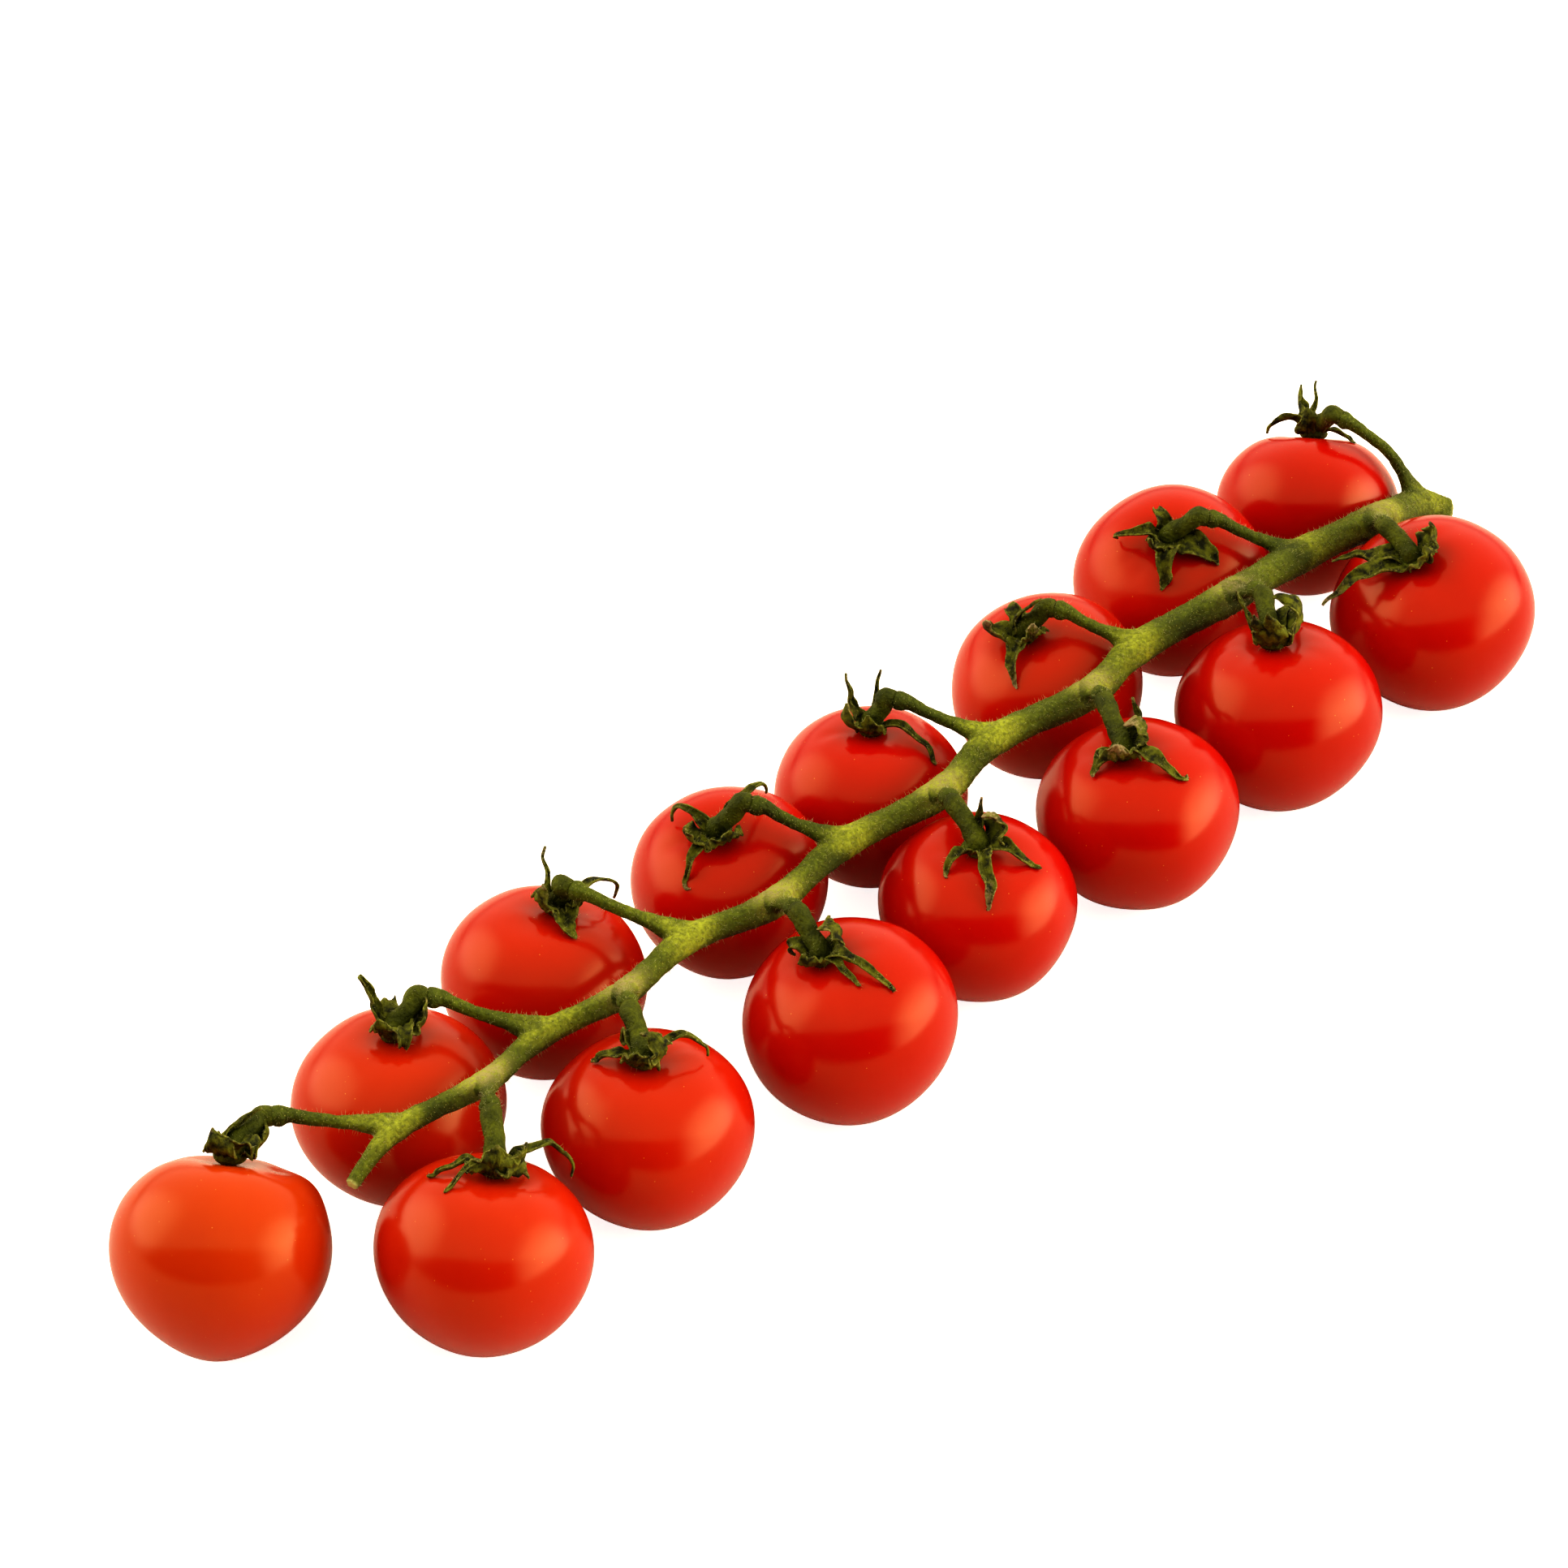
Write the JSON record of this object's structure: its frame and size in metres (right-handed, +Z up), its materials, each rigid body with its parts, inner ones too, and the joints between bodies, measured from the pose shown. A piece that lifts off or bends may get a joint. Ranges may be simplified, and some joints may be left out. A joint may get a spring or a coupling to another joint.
{
  "type": "truss of tomatoes",
  "caption": "Cherry tomatoes on the vine: a cut truss lying flat, with a green main stem, side stalks, curled dry sepals and round red fruits on both sides.",
  "frame": {"origin": "middle of the truss's footprint, on the surface that its fruits rest on", "axes": "+X along the main stem from its thin tip to its cut end, +Z up"},
  "size_m": [0.2722, 0.0678, 0.0358],
  "materials": {
    "tomato_01": "glossy ripe tomato skin with tiny yellow specks",
    "tomato_02": "glossy ripe tomato skin with tiny yellow specks",
    "tomato_03": "glossy ripe tomato skin with tiny yellow specks",
    "tomato_04": "glossy ripe tomato skin with tiny yellow specks",
    "tomato_05": "glossy ripe tomato skin with tiny yellow specks",
    "tomato_06": "glossy ripe tomato skin with tiny yellow specks",
    "tomato_07": "glossy ripe tomato skin with tiny yellow specks",
    "tomato_08": "glossy ripe tomato skin with tiny yellow specks",
    "tomato_09": "glossy ripe tomato skin with tiny yellow specks",
    "tomato_10": "glossy ripe tomato skin with tiny yellow specks",
    "tomato_11": "glossy ripe tomato skin with tiny yellow specks",
    "tomato_12": "glossy ripe tomato skin with tiny yellow specks",
    "tomato_13": "glossy ripe tomato skin with tiny yellow specks",
    "tomato_14": "glossy ripe tomato skin with tiny yellow specks",
    "tomato_15": "glossy ripe tomato skin with tiny yellow specks",
    "calyx_01": "matt dark green sepals, dried to tan at their tips",
    "calyx_02": "matt dark green sepals, dried to tan at their tips",
    "calyx_03": "matt dark green sepals, dried to tan at their tips",
    "calyx_04": "matt dark green sepals, dried to tan at their tips",
    "calyx_05": "matt dark green sepals, dried to tan at their tips",
    "calyx_06": "matt dark green sepals, dried to tan at their tips",
    "calyx_07": "matt dark green sepals, dried to tan at their tips",
    "calyx_08": "matt dark green sepals, dried to tan at their tips",
    "calyx_09": "matt dark green sepals, dried to tan at their tips",
    "calyx_10": "matt dark green sepals, dried to tan at their tips",
    "calyx_11": "matt dark green sepals, dried to tan at their tips",
    "calyx_12": "matt dark green sepals, dried to tan at their tips",
    "calyx_13": "matt dark green sepals, dried to tan at their tips",
    "calyx_14": "matt dark green sepals, dried to tan at their tips",
    "calyx_15": "matt dark green sepals, dried to tan at their tips",
    "stem": "matt yellow-green stem, mottled, with fine pale hairs"
  },
  "bodies": {
    "root": {"tomato_01": "tomato_01", "tomato_02": "tomato_02", "tomato_03": "tomato_03", "tomato_04": "tomato_04", "tomato_05": "tomato_05", "tomato_06": "tomato_06", "tomato_07": "tomato_07", "tomato_08": "tomato_08", "tomato_09": "tomato_09", "tomato_10": "tomato_10", "tomato_11": "tomato_11", "tomato_12": "tomato_12", "tomato_13": "tomato_13", "tomato_14": "tomato_14", "tomato_15": "tomato_15", "calyx_01": "calyx_01", "calyx_02": "calyx_02", "calyx_03": "calyx_03", "calyx_04": "calyx_04", "calyx_05": "calyx_05", "calyx_06": "calyx_06", "calyx_07": "calyx_07", "calyx_08": "calyx_08", "calyx_09": "calyx_09", "calyx_10": "calyx_10", "calyx_11": "calyx_11", "calyx_12": "calyx_12", "calyx_13": "calyx_13", "calyx_14": "calyx_14", "calyx_15": "calyx_15", "stem": "stem"}
  },
  "joints": []
}
